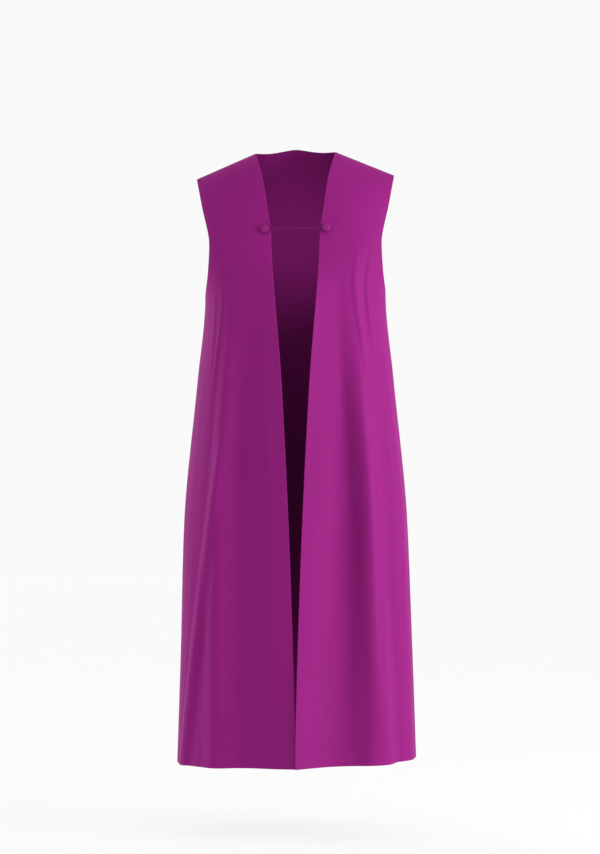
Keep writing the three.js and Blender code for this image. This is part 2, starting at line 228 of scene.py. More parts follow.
# Sewing.
SEAM_ROLL = 0.35  # how far the cloth rolls under beside a sewn seam
SEAM_ROLL_WIDE = 2.4  # how far from the seam the roll starts
SEAM_ROUND = 0.3  # radius of the roll itself
PUCKER = 0.22  # height of the puckers that a side seam draws up
PUCKER_REACH = 9.0  # how far from the seam they have died down to a third
DOUBLE_RISE = 0.22  # how far the cloth stands out over its turnings
TURN_FADE = 3.0  # half the width of the step at the end of a turning
DIMPLE = 0.5  # how deep a button's stitches draw the cloth in
DIMPLE_WIDE = 5.0
STITCH_LINE = 0.035  # height of the blind stitches above the hem, in metres
STITCH_LENGTH = 0.009  # spacing of the blind stitches, in metres
STITCH_WIDE = 0.0022  # reach of a stitch's dimple above and below its line, in metres

CREASE_SIDE = 45.0  # how far from a side seam the creases reach their full height
CREASE_TOP = 90.0  # and from a top edge
WEAR_REACH = 2.5  # how far from an edge the dye has rubbed pale
HEM_WEAR_REACH = 28.0  # and how far above the hem, half as much
GATHER_WIDE = 0.16  # how far a gather under a button's rim stands out sideways
GATHER_TALL = 0.12  # and upwards
SHANK_THREADS = 6
THREAD_WIDE = 0.14  # how far a thread of the shank stands out

# Grain of the yarns, in spots a metre along the two directions of the cut.
SLUBS = (900.0, 45.0)  # slubs of the worsted, 1.1 mm wide and 22 mm long
FIBRES = (2600.0, 260.0)  # filaments of the cord, 0.4 mm wide and 4 mm long
CLOTH_CLOUDS = 9.0  # uneven dye in the cloth, in patches of 110 mm
BUTTON_CLOUDS = 300.0  # and on a button, 3 mm
PLIES = 3  # of a strand of cord
TWILL_LEAN = 27  # degrees between the twill lines and the length of the cloth
PLY_LEAN = 52  # degrees between the filaments and the length of the cord

# How dark some places are drawn, as a share of the full colour: all three are painted shade.
REVERSE_PAINTED_SHADE = 0.86  # painted shade on the reverse of the cloth, inside the robe
BUTTON_RIM_PAINTED_SHADE = 0.45  # painted shade on the cloth at a button's rim and under it
PLY_GROOVE_PAINTED_SHADE = 0.45  # painted shade on the cord between its plies

# The stage. The view is the height that the picture takes in at the seam plane, and its middle,
# in metres. Lamps face that middle: degrees round from the front and up, and size in metres.
VIEW_HEIGHT = 1.974
VIEW_X = 0.0104
VIEW_Z = -0.6335
FLOOR_RADIUS = 12.0
LAMP_DISTANCE = 3.2
Lamp = namedtuple("Lamp", "name azimuth elevation wide tall")
KEY = Lamp("key", 67, 8, 1.8, 2.2)
FILL = Lamp("fill", -82, 8, 0.9, 2.2)
BACK = Lamp("back", -120, 18, 0, 0)
BACK_SPREAD = 22  # degrees that the back light, a far one without a size, spreads over
SENSOR = 36  # width of the camera's sensor, in mm


def linear(code):
    """An sRGB hex colour as linear red, green and blue."""
    channels = [int(code[i : i + 2], 16) / 255 for i in (0, 2, 4)]
    return tuple(c / 12.92 if c <= 0.04045 else ((c + 0.055) / 1.055) ** 2.4 for c in channels)


# ---------------------------------------------------------------- settings in the sidebar


class ChimereCloth(bpy.types.PropertyGroup):
    """Sizes and colours of the cloth panels."""

    thickness: FloatProperty(
        name="Cloth", description="Thickness of one layer of cloth", default=0.0007, unit="LENGTH"
    )
    turned: FloatProperty(
        name="Turned edge", description="Thickness of a turned hem", default=0.0015, unit="LENGTH"
    )
    hem: FloatProperty(
        name="Hem", description="Depth of the turned hem", default=0.038, unit="LENGTH"
    )
    facing: FloatProperty(
        name="Facing", description="Width turned in at a front edge", default=0.045, unit="LENGTH"
    )
    narrow: FloatProperty(
        name="Narrow turning", description="Turning at armholes and seams", default=0.013,
        unit="LENGTH",
    )
    creasing: FloatProperty(
        name="Creasing", description="Height of the small creases", default=1.0, min=0.0, max=2.0
    )
    weave: FloatProperty(
        name="Weave", description="Spacing of the drawn twill lines", default=0.0011, unit="LENGTH"
    )
    colour: FloatVectorProperty(
        name="Dye", description="Colour of the cloth", subtype="COLOR", default=linear("7B1867")
    )
    faded: FloatVectorProperty(
        name="Faded dye", description="Colour where the cloth is paler", subtype="COLOR",
        default=linear("831B6D"),
    )
    bloom: FloatVectorProperty(
        name="Nap", description="Colour of the soft nap", subtype="COLOR", default=linear("C83CAC")
    )


class ChimereFastening(bpy.types.PropertyGroup):
    """Sizes and colours of the buttons and the cord."""

    gathers: IntProperty(
        name="Gathers", description="Gathers of the cloth under a button's rim", default=26, min=8
    )
    ply_turns: IntProperty(
        name="Ply turns", description="Turns of the plies in the whole loop", default=56, min=1
    )
    button_colour: FloatVectorProperty(
        name="Button cloth", description="Colour of the covered buttons", subtype="COLOR",
        default=linear("7E1A69"),
    )
    cord_colour: FloatVectorProperty(
        name="Cord", description="Dye of the cord", subtype="COLOR", default=linear("500F44")
    )


class ChimereStage(bpy.types.PropertyGroup):
    """Floor, light and camera."""

    floor_drop: FloatProperty(
        name="Drop", description="Drop from the hem to the floor", default=0.168, unit="LENGTH"
    )
    floor_colour: FloatVectorProperty(
        name="Floor", description="Colour of the floor", subtype="COLOR", default=linear("6A6A6A")
    )
    floor_glow: FloatProperty(
        name="Floor glow", description="Light from below", default=0.765
    )
    distance: FloatProperty(
        name="Camera distance", description="From the seam plane", default=6.8, unit="LENGTH"
    )
    key_power: FloatProperty(
        name="Key light", description="Power of the large soft box", default=112.0, unit="POWER"
    )
    fill_power: FloatProperty(
        name="Fill light", description="Power of the small soft box", default=14.0, unit="POWER"
    )
    back_strength: FloatProperty(
        name="Back light", description="In watts a square metre", default=1.3
    )
    room: FloatProperty(
        name="Room light", description="Strength of the white room", default=0.95
    )


# ---------------------------------------------------------------- the form of the robe


def mix(a, b, share):
    """The value a share of the way from a to b."""
    return a + (b - a) * share


def smooth(value, low, high):
    """0 below low, 1 above high and an even swing between."""
    t = np.clip((value - low) / (high - low), 0.0, 1.0)
    return t * t * (3 - 2 * t)


def curve_of(rows, column):
    """A smooth curve through one column of a table, as a function of height."""
    z = np.array([row.z for row in rows], float)
    value = np.array([getattr(row, column) for row in rows], float)
    secant = np.diff(value) / np.diff(z)
    above = np.append(secant[0], secant)
    below = np.append(secant, secant[-1])
    product = np.maximum(above * below, 0)
    slope = 2 * product / np.where(product > 0, above + below, 1)

    def at(height):
        height = np.clip(height, z[-1], z[0])
        i = np.clip(np.searchsorted(-z, -height) - 1, 0, len(z) - 2)
        span = z[i + 1] - z[i]
        t = (height - z[i]) / span
        return (
            value[i] * (1 + 2 * t) * (1 - t) ** 2
            + value[i + 1] * t * t * (3 - 2 * t)
            + slope[i] * span * t * (1 - t) ** 2
            + slope[i + 1] * span * t * t * (t - 1)
        )

    return at


half_at = curve_of(SECTIONS, "half")
depth_at = {"front": curve_of(SECTIONS, "front"), "back": curve_of(SECTIONS, "back")}
square_at = curve_of(SECTIONS, "square")
front_edge_at = curve_of(FRONT_EDGE, "x")
armhole_at = {"front": curve_of(ARMHOLE, "front"), "back": curve_of(ARMHOLE, "back")}


def rise_at(height):
    """0 at the underarm and below, 1 at the shoulder seam."""
    return np.maximum(0.0, 1 - height / UNDERARM)


def turned_from(girth, angle):
    """Degrees round the robe from an angle, between -180 and 180."""
    turn = girth - angle
    return turn - 360 * np.round(turn / 360)


def fold_depth(girth, z):
    """How far the folds push the cloth out."""
    total = np.zeros(np.broadcast(girth, z).shape)
    for fold in FOLDS:
        down = np.clip((fold.start - z) / (fold.start - HEM), 0, 1)
        turn = turned_from(girth, mix(fold.at_top, fold.at_hem, down))
        away = np.minimum(np.abs(turn) / mix(fold.wide_top, fold.wide_hem, down), 1)
        total += fold.height * smooth(-z, -fold.start, -fold.full) * (1 - away**2) ** 2
    return total


def crease_depth(girth, z):
    """Height of the small creases and of the slow ripples."""
    radius = (half_at(z) + depth_at["front"](z)) / 2
    total = np.zeros(np.broadcast(girth, z).shape)
    for crease in CREASES:
        down = (crease.top - z) / (crease.top - crease.foot)
        turn = turned_from(girth, mix(crease.at_top, crease.at_foot, np.clip(down, 0, 1)))
        away = np.minimum(np.abs(np.radians(turn) * radius) / crease.wide, 1)
        along = np.clip(4 * down * (1 - down), 0, 1)
        total += crease.height * along * (1 - away**2) ** 2
    for ripple in RIPPLES:
        phase = girth * ripple.waves / 360 + z / ripple.drop + ripple.phase / 360
        total += ripple.height * np.sin(2 * np.pi * phase) * smooth(-z, 120, 520)
    return total


def cloth_points(side, face, x, z, rise):
    """Points of the outer face at x >= 0, with their girth angles."""
    half, depth, square = half_at(z), depth_at[face](z), square_at(z)
    share = np.minimum(1.0, x / half)
    to_front = -1 if face == "front" else 1
    ring = depth * (1 - share**square) ** (1 / square)
    forward = 0
    if face == "front":
        near_edge = 1 - np.clip((x - front_edge_at(z)) / EDGE_FADE, 0, 1)
        forward = EDGE_FORWARD[side] * smooth(-z, -EDGE_FROM, -EDGE_FULL) * near_edge**2
    rolled = (1 - rise**CHEST_RISE) ** (1 / SHOULDER_ROLL)
    points = np.stack([side * x, to_front * (ring + forward) * rolled, z + 0 * x], axis=-1)

    turn = np.degrees(np.arcsin(share ** (square / 2)))
    girth = side * (turn if face == "front" else 180 - turn)
    sideways = side * share ** (square - 1) / half
    forwards = to_front * (ring / depth) ** (square - 1) / depth
    outward = np.stack([sideways, forwards, 0 * x], axis=-1)
    outward /= np.linalg.norm(outward, axis=-1, keepdims=True)
    points += outward * fold_depth(girth, z)[..., None]
    points[..., 2] += HIGH_SHOULDER * points[..., 0] / SHOULDER_WIDTH
    return points, girth


def front_points(side, across, height):
    """Outer face of a front: across is 0 at the front edge and 1 at the side."""
    rise = rise_at(height)
    z = height - SHOULDER_DROP * across * rise
    low = np.minimum(height, UNDERARM)
    half, square, edge = half_at(low), square_at(low), front_edge_at(low)
    start = np.arcsin((edge / half) ** (square / 2))
    ring_x = half * np.sin(mix(start, np.pi / 2, across)) ** (2 / square)
    share = mix((ring_x - edge) / (half - edge), across, smooth(rise, 0, 1))
    outer = np.where(rise > 0, armhole_at["front"](height - SHOULDER_DROP * rise), half)
    return cloth_points(side, "front", mix(front_edge_at(height), outer, share), z, rise)


def shoulder_line(x):
    """Height of the shoulder line, carried on over the neck inside the neck points."""
    slope = SHOULDER_DROP / (HALF_SHOULDER - HALF_NECK)
    inward = np.clip(1 - x / HALF_NECK, 0, 1)
    rising = NECK_SLOPE_RISE * inward**2 * (3 - 2 * inward)
    inside = rising + slope * HALF_NECK * inward * (1 - inward) ** 2
    return np.where(x >= HALF_NECK, -slope * (x - HALF_NECK), inside)


def neckline_rise(x):
    """Rise at which the back neckline crosses a sideways position."""
    share = np.minimum(x / HALF_NECK, 1)
    behind = NAPE_BACK * (1 - share**NECKLINE_SQUARE) ** NECKLINE_SPREAD
    return (1 - (behind / depth_at["back"](UNDERARM)) ** SHOULDER_ROLL) ** (1 / CHEST_RISE)


def back_points(across, height):
    """Outer face of the back: across runs from -1 at the right side to 1 at the left side."""
    away = np.abs(across)
    top_x = HALF_SHOULDER * away
    level = rise_at(height)
    rise = level * neckline_rise(top_x)
    z = np.where(rise > 0, mix(UNDERARM, shoulder_line(top_x), rise), height)
    square = square_at(np.minimum(height, UNDERARM))
    ring_share = np.sin(away * np.pi / 2) ** (2 / square)
    share = mix(ring_share, away, smooth(level, 0, 1))
    armhole = armhole_at["back"](mix(UNDERARM, -SHOULDER_DROP, rise))
    outer = np.where(rise > 0, armhole, half_at(height))
    return cloth_points(np.where(across < 0, -1, 1), "back", outer * share, z, rise)


# ---------------------------------------------------------------- cloth panels


def unit(vectors):
    """Vectors brought to a length of 1."""
    return vectors / np.maximum(np.linalg.norm(vectors, axis=-1, keepdims=True), 1e-12)


def grid_normals(points, facing):
    """Unit normals of a grid of points, out of the cloth."""
    face = unit(np.cross(points[1:, 1:] - points[:-1, :-1], points[1:, :-1] - points[:-1, 1:]))
    total = np.zeros_like(points)
    for rows in (slice(None, -1), slice(1, None)):
        for columns in (slice(None, -1), slice(1, None)):
            total[rows, columns] += face * facing
    return unit(total)


def arc(points, axis):
    """Length along a grid of points from its first row or column."""
    steps = np.linalg.norm(np.diff(points, axis=axis), axis=-1)
    zero = np.zeros_like(np.take(steps, [0], axis=axis))
    return np.cumsum(np.concatenate([zero, steps], axis=axis), axis=axis)


def panel_rows():
    """Heights of the rows: even down the skirt, closer at the hem and over the shoulder."""
    hem = HEM + np.array(HEM_ROWS)
    skirt = np.linspace(HEM + SKIRT_FOOT, UNDERARM, SKIRT_ROWS)
    share = np.linspace(0, 1, YOKE_ROWS)[1:]
    over = 1 - (1 - share) ** YOKE_CROWDING
    return np.concatenate([hem, skirt, UNDERARM * (1 - mix(share, over, share))])


def panel_columns(breaks, counts, close_start):
    """Shares across a panel, even between its breaks and closer at its open edges."""
    close = np.array(EDGE_COLUMNS)
    spans = [np.linspace(a, b, n + 1) for a, b, n in zip(breaks, breaks[1:], counts)]
    edges = [close] if close_start else []
    return np.unique(np.concatenate([*spans, 1 - close, *edges]))


Panel = namedtuple("Panel", "name points girth height facing sewn faced_start")


def front_panel(side):
    """The grid of a front, from its front edge to its side."""
    across = panel_columns([0, 1], [FRONT_COLUMNS], True)[None, :]
    height = panel_rows()[:, None]
    points, girth = front_points(side, across, height)
    at_edge = 1 - smooth(points[..., 0] * side, 0, FOOT_FADE)
    points[..., 0] -= side * FOOT_CLOSE * at_edge * smooth(-height, -FOOT_FROM, -FOOT_FULL)
    sewn = (height > -SAME) | ((across > 1 - SAME) & (height <= UNDERARM))
    name = "front_left" if side > 0 else "front_right"
    return Panel(name, points, girth, height, side, sewn, True)


def back_panel():
    """The grid of the back, from the right side to the left side."""
    half = panel_columns([0, NECK_SHARE, 1], [NECK_COLUMNS, SHOULDER_COLUMNS], False)
    across = np.concatenate([-half[:0:-1], half])[None, :]
    height = panel_rows()[:, None]
    points, girth = back_points(across, height)
    away = np.abs(across)
    shoulder = (height > -SAME) & (away > NECK_SHARE - SAME)
    sewn = shoulder | ((away > 1 - SAME) & (height <= UNDERARM))
    return Panel("back", points, girth, height, -1, sewn, False)


def relief_of(panel, cloth, seats):
    """How far the cloth stands out from the plain form: creases, puckers and sewn places."""
    points = panel.points
    z = points[..., 2]
    down, across = arc(points, 0), arc(points, 1)
    from_top = down[-1:] - down
    from_end = across[:, -1:] - across
    from_side = from_end if panel.faced_start else np.minimum(across, from_end)
    relief = cloth.creasing * crease_depth(panel.girth, z)
    relief *= smooth(from_side, 0, CREASE_SIDE) * smooth(from_top, 5, CREASE_TOP)
    below = 1 - smooth(panel.height, UNDERARM - 30, UNDERARM + 60)
    uneven = np.sin(z / 5.1) * np.sin(z / 8.3 + 1.1)
    pucker = uneven * np.exp(-from_side / PUCKER_REACH)
    relief += PUCKER * pucker * smooth(from_side, 0, 3) * below
    relief += DOUBLE_RISE * turned_share(panel, cloth)
    for seat in seats:
        away = np.linalg.norm(points - seat.place, axis=-1)
        relief -= DIMPLE * np.exp(-((away / DIMPLE_WIDE) ** 2))
    sewn = np.where(panel.sewn[-1:], from_top, np.inf)
    sewn = np.where(panel.height <= UNDERARM, np.minimum(sewn, from_side), sewn)
    return relief - SEAM_ROLL * (1 - smooth(sewn, 0, SEAM_ROLL_WIDE))


def turned_share(panel, cloth):
    """1 where the cloth is turned in and lies double, 0 where it is single."""
    down, across = arc(panel.points, 0), arc(panel.points, 1)
    narrow = cloth.narrow / MM
    start = cloth.facing / MM if panel.faced_start else narrow
    spans = [
        (down, cloth.hem / MM),
        (down[-1:] - down, narrow),
        (across, start),
        (across[:, -1:] - across, narrow),
    ]
    shares = [1 - smooth(away, wide - TURN_FADE, wide + TURN_FADE) for away, wide in spans]
    return np.max(shares, axis=0)


def edge_directions(points, normals):
    """Unit vectors out of the panel along its rim, and zero inside it."""
    out = np.zeros_like(points)
    out[0] += unit(points[0] - points[1])
    out[-1] += unit(points[-1] - points[-2])
    out[:, 0] += unit(points[:, 0] - points[:, 1])
    out[:, -1] += unit(points[:, -1] - points[:, -2])
    out -= normals * np.sum(out * normals, axis=-1, keepdims=True)
    return unit(out)


def panel_mesh(panel, cloth, seats):
    """A closed thin mesh of a panel, with rounded edges and its turnings inside."""
    facing = panel.facing
    relief = relief_of(panel, cloth, seats)[..., None]
    outer = panel.points + grid_normals(panel.points, facing) * relief
    normals = grid_normals(outer, facing)
    flat = normals.copy()
    flat[..., 1] = 0
    normals = np.where(panel.sewn[..., None], unit(flat), normals)
    thickness = mix(cloth.thickness, cloth.turned, turned_share(panel, cloth)) / MM
    inner = outer - normals * thickness[..., None]
    out = edge_directions(outer, normals)
    reach = np.where(panel.sewn, SEAM_ROUND, thickness / 2)[..., None]
    outer, inner = outer - out * reach, inner - out * reach

    tall, wide = thickness.shape
    count = tall * wide
    index = np.arange(count).reshape(tall, wide)
    rim = np.concatenate([index[0, :-1], index[:-1, -1], index[-1, :0:-1], index[:0:-1, 0]])
    middle, normal_way, out_way = (
        array.reshape(count, 3)[rim]
        for array in ((outer + inner) / 2, normals * thickness[..., None] / 2, out * reach)
    )
    loops = [
        middle + normal_way * math.cos(angle) + out_way * math.sin(angle)
        for angle in np.radians(RIM_ANGLES)
    ]
    vertices = np.concatenate([outer.reshape(-1, 3), inner.reshape(-1, 3), *loops])

    corner = index[:-1, :-1].ravel()
    quads = np.stack([corner, corner + 1, corner + 1 + wide, corner + wide], axis=1)
    between = [2 * count + k * len(rim) + np.arange(len(rim)) for k in range(len(loops))]
    rings = [rim, *between, rim + count]
    strips = [
        np.stack([a, b, np.roll(b, -1), np.roll(a, -1)], axis=1) for a, b in zip(rings, rings[1:])
    ]
    faces = np.concatenate([quads, quads[:, ::-1] + count, *strips])
    if facing < 0:
        faces = faces[:, ::-1]
    mesh = mesh_from(panel.name, vertices, faces)

    down, across = arc(panel.points, 0), arc(panel.points, 1)
    cut = np.stack([across, down], axis=-1).reshape(-1, 2)
    nearest = np.min([down, down[-1:] - down, across, across[:, -1:] - across], axis=0)
    wear = np.exp(-nearest / WEAR_REACH) + 0.5 * np.exp(-down / HEM_WEAR_REACH)
    wear = wear.reshape(-1, 1)
    on_rim = np.tile(rim, len(loops))
    store(mesh, "wear", np.concatenate([wear, wear, wear[on_rim]]))
    store(mesh, "reverse", np.repeat([0.0, 1.0, 0.0], [count, count, len(on_rim)]))
    store_uv(mesh, np.concatenate([cut, cut, cut[on_rim]]) * MM)
    return mesh


# ---------------------------------------------------------------- meshes and pieces


def mesh_from(name, vertices, faces):
    """A mesh of points in mm and of faces, as an array or as a list of lists."""
    mesh = bpy.data.meshes.new(name)
    corners = faces if isinstance(faces, list) else faces.tolist()
    mesh.from_pydata((np.asarray(vertices) * MM).tolist(), [], corners)
    mesh.update()
    return mesh


def store(mesh, name, values):
    """Keep one number a vertex under a name that the materials read."""
    mesh.attributes.new(name, "FLOAT", "POINT").data.foreach_set("value", np.ravel(values))


def store_uv(mesh, places):
    """Keep each vertex's place on the cut cloth, in metres."""
    corner = np.empty(len(mesh.loops), dtype=np.int32)
    mesh.loops.foreach_get("vertex_index", corner)
    mesh.uv_layers.new(name="cut").data.foreach_set("uv", places[corner].ravel())


def new_piece(name, mesh, material, node):
    """Link a mesh as a piece of the robe that stands for a node of the solids."""
    piece = bpy.data.objects.new(name, mesh)
    bpy.context.scene.collection.objects.link(piece)
    mesh.materials.append(material)
    mesh.shade_smooth()
    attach(piece, BODY)
    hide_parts(node)
    return piece


def closed_tube(count, sides):
    """Faces round a row of closed rings whose last one joins the first."""
    ring, side = np.meshgrid(np.arange(count), np.arange(sides), indexing="ij")
    after, beside = (ring + 1) % count, (side + 1) % sides
    pairs = [(ring, side), (ring, beside), (after, beside), (after, side)]
    return np.stack([(row * sides + place).ravel() for row, place in pairs], axis=1)


# ---------------------------------------------------------------- buttons and cord


Seat = namedtuple("Seat", "place out up inward")


def button_seat(side):
    """Where a button is sewn, and the directions out of the cloth, up it and to the other one."""

    def at(across, height):
        return front_points(side, np.array([[across]]), np.array([[height]]))[0][0, 0]

    edge = front_edge_at(BUTTON_HEIGHT)
    across = BUTTON_INSET / (armhole_at["front"](BUTTON_HEIGHT) - edge)
    for _ in range(8):
        across *= BUTTON_INSET / (abs(at(across, BUTTON_HEIGHT)[0]) - edge)
    sideways = at(across + 0.0025, BUTTON_HEIGHT) - at(across - 0.0025, BUTTON_HEIGHT)
    upward = at(across, BUTTON_HEIGHT + 0.7) - at(across, BUTTON_HEIGHT - 0.7)
    out = unit(np.cross(sideways, upward)) * side
    up = unit(np.array([0, 0, 1]) - out * out[2])
    return Seat(at(across, BUTTON_HEIGHT), out, up, np.cross(up, out) * side)


def button_profile():
    """Radius and height of a covered button, from the crown down to the foot of its shank."""
    under = SEAM_GAP + SHANK_HEIGHT
    rim = under + BUTTON_RIM
    top = rim + BUTTON_DOME
    shoulder = mix(rim, top, 0.7)
    t = np.linspace(0, 1, 22)[:, None]
    crown = [(0, top), (BUTTON_RADIUS / 2, top), (BUTTON_RADIUS, shoulder), (BUTTON_RADIUS, rim)]
    weights = [(1 - t) ** 3, 3 * t * (1 - t) ** 2, 3 * t * t * (1 - t), t**3]
    dome = sum(weight * np.array(point) for weight, point in zip(weights, crown))
    t = np.linspace(0, 1, 8)[1:, None]
    roll = [(BUTTON_RADIUS, rim), (BUTTON_RADIUS, under), (BUTTON_RADIUS - BUTTON_RIM, under)]
    weights = [(1 - t) ** 2, 2 * t * (1 - t), t * t]
    edge = sum(weight * np.array(point) for weight, point in zip(weights, roll))
    inward = np.linspace(BUTTON_RADIUS - BUTTON_RIM, SHANK_RADIUS, 8)[1:]
    below = np.stack([inward, np.full(7, under)], 1)
    shank = np.stack([np.full(10, SHANK_RADIUS), np.linspace(under, -0.5, 11)[1:]], 1)
    return np.concatenate([dome, edge, below, shank, [[0, -0.5]]])


def button_mesh(name, seat, gathers):
    """A domed button: cloth drawn over a mould, gathered under the rim, on a thread shank."""
    profile = button_profile()
    sides = BUTTON_SIDES
    turn = np.linspace(0, 2 * np.pi, sides, endpoint=False)
    radius, height = profile[1:-1, 0][:, None], profile[1:-1, 1][:, None]
    under = SEAM_GAP + SHANK_HEIGHT
    gathered = smooth(-height, -(under + 1.6), -under) * smooth(radius, 3.5, 8)
    fold = np.cos(gathers * turn) + 0.35 * np.cos(7 * turn + 1) + 0.3 * np.cos(17 * turn + 2)
    on_shank = (height < under - 1e-6) * 1.0
    threads = np.sin(SHANK_THREADS * turn + 1.9 * height)
    wide = radius + GATHER_WIDE * gathered * fold + THREAD_WIDE * on_shank * threads
    tall = height + GATHER_TALL * gathered * np.sin(gathers * turn)
    right = np.cross(seat.up, seat.out)
    around = np.cos(turn)[:, None] * right + np.sin(turn)[:, None] * seat.up
    rings = seat.place + wide[..., None] * around + tall[..., None] * seat.out
    ends = [seat.place + seat.out * profile[0, 1], seat.place + seat.out * profile[-1, 1]]
    vertices = np.concatenate([rings.reshape(-1, 3), ends])

    count = len(rings)
    k = np.arange(sides)
    after = (k + 1) % sides
    faces = []
    for ring in range(count - 1):
        a, b = ring * sides, (ring + 1) * sides
        faces += np.stack([a + k, b + k, b + after, a + after], axis=1).tolist()
    crown, foot = count * sides, count * sides + 1
    faces += [[crown, int(i), int(j)] for i, j in zip(k, after)]
    last = (count - 1) * sides
    faces += [[foot, int(last + j), int(last + i)] for i, j in zip(k, after)]
    mesh = mesh_from(name, vertices, faces)
    away = vertices - seat.place
    store_uv(mesh, np.stack([away @ right, away @ seat.up], axis=1) * MM)
    store(mesh, "thread", np.concatenate([np.repeat(on_shank, sides), [0, 1]]))
    # Painted shade: the button is drawn darker towards its rim and all over its underside.
    rim_painted_shade = smooth(radius, BUTTON_RADIUS - 2.6, BUTTON_RADIUS - 0.2)
    rim_painted_shade = np.where(height < under + BUTTON_RIM, 1, rim_painted_shade)
    store(mesh, "rim_painted_shade", np.concatenate([np.repeat(rim_painted_shade, sides), [0, 1]]))
    return mesh


def cord_line(left, right, count):
    """Centre line of the closed loop of cord, with the direction out of the cloth beside it."""
    radius = SHANK_RADIUS + STRAND_GAP + STRAND_RADIUS
    ends = [(seat.place + seat.out * (SEAM_GAP + SHANK_HEIGHT / 2), seat) for seat in (left, right)]
    span = float(np.linalg.norm(ends[0][0] - ends[1][0]))
    half = span + math.pi * radius
    line, outs = [], []
    for along in np.linspace(0, 2 * half, count, endpoint=False):
        back = along >= half
        run = along - half if back else along
        sign = -1 if back else 1
        if run >= span:
            angle = (run - span) / radius
            centre, seat = ends[0] if back else ends[1]
            point = centre + seat.up * sign * radius * math.cos(angle)
            line.append(point - seat.inward * radius * math.sin(angle))
            outs.append(seat.out)
            continue
        share = 1 - run / span if back else run / span
        near = min(share, 1 - share) * span
        seat = ends[0][1] if share < 0.5 else ends[1][1]
        lift = EDGE_LIFT * smooth(near, 0, BUTTON_INSET)
        middle = mix(ends[0][0], ends[1][0], share) + seat.out * lift
        apart = mix(radius, STRAND_RADIUS + STRAND_GAP / 2, smooth(near, 0, PARTING))
        twist = TWISTS * 2 * math.pi * smooth(share, PARTING / span, 1 - PARTING / span)
        around = seat.up * math.cos(twist) - seat.out * math.sin(twist)
        line.append(middle + sign * apart * around)
        outs.append(unit(mix(left.out, right.out, share)))
    return np.array(line), np.array(outs)


def cord_mesh(name, left, right, ply_turns):
    """The loop of cord: each strand is three plies laid round each other."""
    line, outs = cord_line(left, right, CORD_RINGS)
    tangent = unit(np.roll(line, -1, axis=0) - np.roll(line, 1, axis=0))
    beside = unit(np.cross(outs, tangent))
    above = np.cross(tangent, beside)
    steps = np.linalg.norm(np.roll(line, -1, axis=0) - line, axis=1)
    along = np.concatenate([[0], np.cumsum(steps)[:-1]])
    lay = ply_turns * 2 * np.pi * along / steps.sum()
    turn = np.linspace(0, 2 * np.pi, CORD_SIDES, endpoint=False)[None, :]
    groove = np.abs(np.cos(PLIES / 2 * (turn - lay[:, None]))) ** 0.6
    radius = STRAND_RADIUS * (0.80 + 0.24 * groove)
    rings = line[:, None] + radius[..., None] * (
        np.cos(turn)[..., None] * beside[:, None] + np.sin(turn)[..., None] * above[:, None]
    )
    mesh = mesh_from(name, rings.reshape(-1, 3), closed_tube(CORD_RINGS, CORD_SIDES))
    place = np.stack(np.broadcast_arrays(along[:, None], turn * STRAND_RADIUS), axis=-1)
    store_uv(mesh, place.reshape(-1, 2) * MM)
    store(mesh, "groove", groove)
    return mesh


# ---------------------------------------------------------------- materials


def add_node(tree, kind, inputs=None, **settings):
    """Add a node with its settings, and set or link its inputs."""
    node = tree.nodes.new(kind)
    for name, value in settings.items():
        setattr(node, name, value)
    for name, value in (inputs or {}).items():
        if isinstance(value, bpy.types.NodeSocket):
            tree.links.new(value, node.inputs[name])
        else:
            node.inputs[name].default_value = value
    return node


def new_material(name):
    """A new material, with its empty node tree."""
    material = bpy.data.materials.new(name)
    material.use_nodes = True
    material.node_tree.nodes.clear()
    return material, material.node_tree


def shaded(colour, share):
    """A darker colour for painted shade, as a share of each channel, for a colour socket."""
    return (*(share * channel for channel in colour), 1)


def wave_scale(spacing):
    """Scale that gives a Wave Texture one band in each spacing, in metres."""
    return math.pi / 10 / spacing


def twill_height(tree, cut, spacing):
    """Height of a fine steep twill, from 0 to 1."""
    lean = (0, 0, math.radians(TWILL_LEAN))
    turned = add_node(tree, "ShaderNodeMapping", {"Vector": cut, "Rotation": lean})
    lines = add_node(
        tree, "ShaderNodeTexWave",
        {"Vector": turned.outputs["Vector"], "Scale": wave_scale(spacing), "Distortion": 0.4},
        wave_type="BANDS", bands_direction="X", wave_profile="SIN",
    )
    crossing = add_node(
        tree, "ShaderNodeTexWave",
        {"Vector": cut, "Scale": wave_scale(spacing * 0.8), "Distortion": 0.6},
        wave_type="BANDS", bands_direction="Y", wave_profile="SIN",
    )
    return add_node(
        tree, "ShaderNodeMath", {0: lines.outputs["Fac"], 1: crossing.outputs["Fac"]},
        operation="MULTIPLY",
    ).outputs[0]


def blind_stitches(tree, cut):
    """The dimples that the blind stitches of the hem draw in, from 0 to 1."""
    place = add_node(tree, "ShaderNodeSeparateXYZ", {"Vector": cut}).outputs
    off = add_node(tree, "ShaderNodeMath", {0: place["Y"], 1: STITCH_LINE}, operation="SUBTRACT")
    away = add_node(tree, "ShaderNodeMath", {0: off.outputs[0]}, operation="ABSOLUTE")
    line = add_node(
        tree, "ShaderNodeMapRange",
        {
            "Value": away.outputs[0], "From Min": 0.0, "From Max": STITCH_WIDE,
            "To Min": 1.0, "To Max": 0.0,
        },
        interpolation_type="SMOOTHSTEP",
    )
    wave = add_node(
        tree, "ShaderNodeTexWave",
        {"Vector": cut, "Scale": wave_scale(STITCH_LENGTH), "Distortion": 0.3},
        wave_type="BANDS", bands_direction="X", wave_profile="SIN",
    )
    dimple = add_node(
        tree, "ShaderNodeMapRange",
        {"Value": wave.outputs["Fac"], "From Min": 0.55, "From Max": 1.0},
        interpolation_type="SMOOTHSTEP",
    )
    return add_node(
        tree, "ShaderNodeMath", {0: line.outputs["Result"], 1: dimple.outputs["Result"]},
        operation="MULTIPLY",
    ).outputs[0]


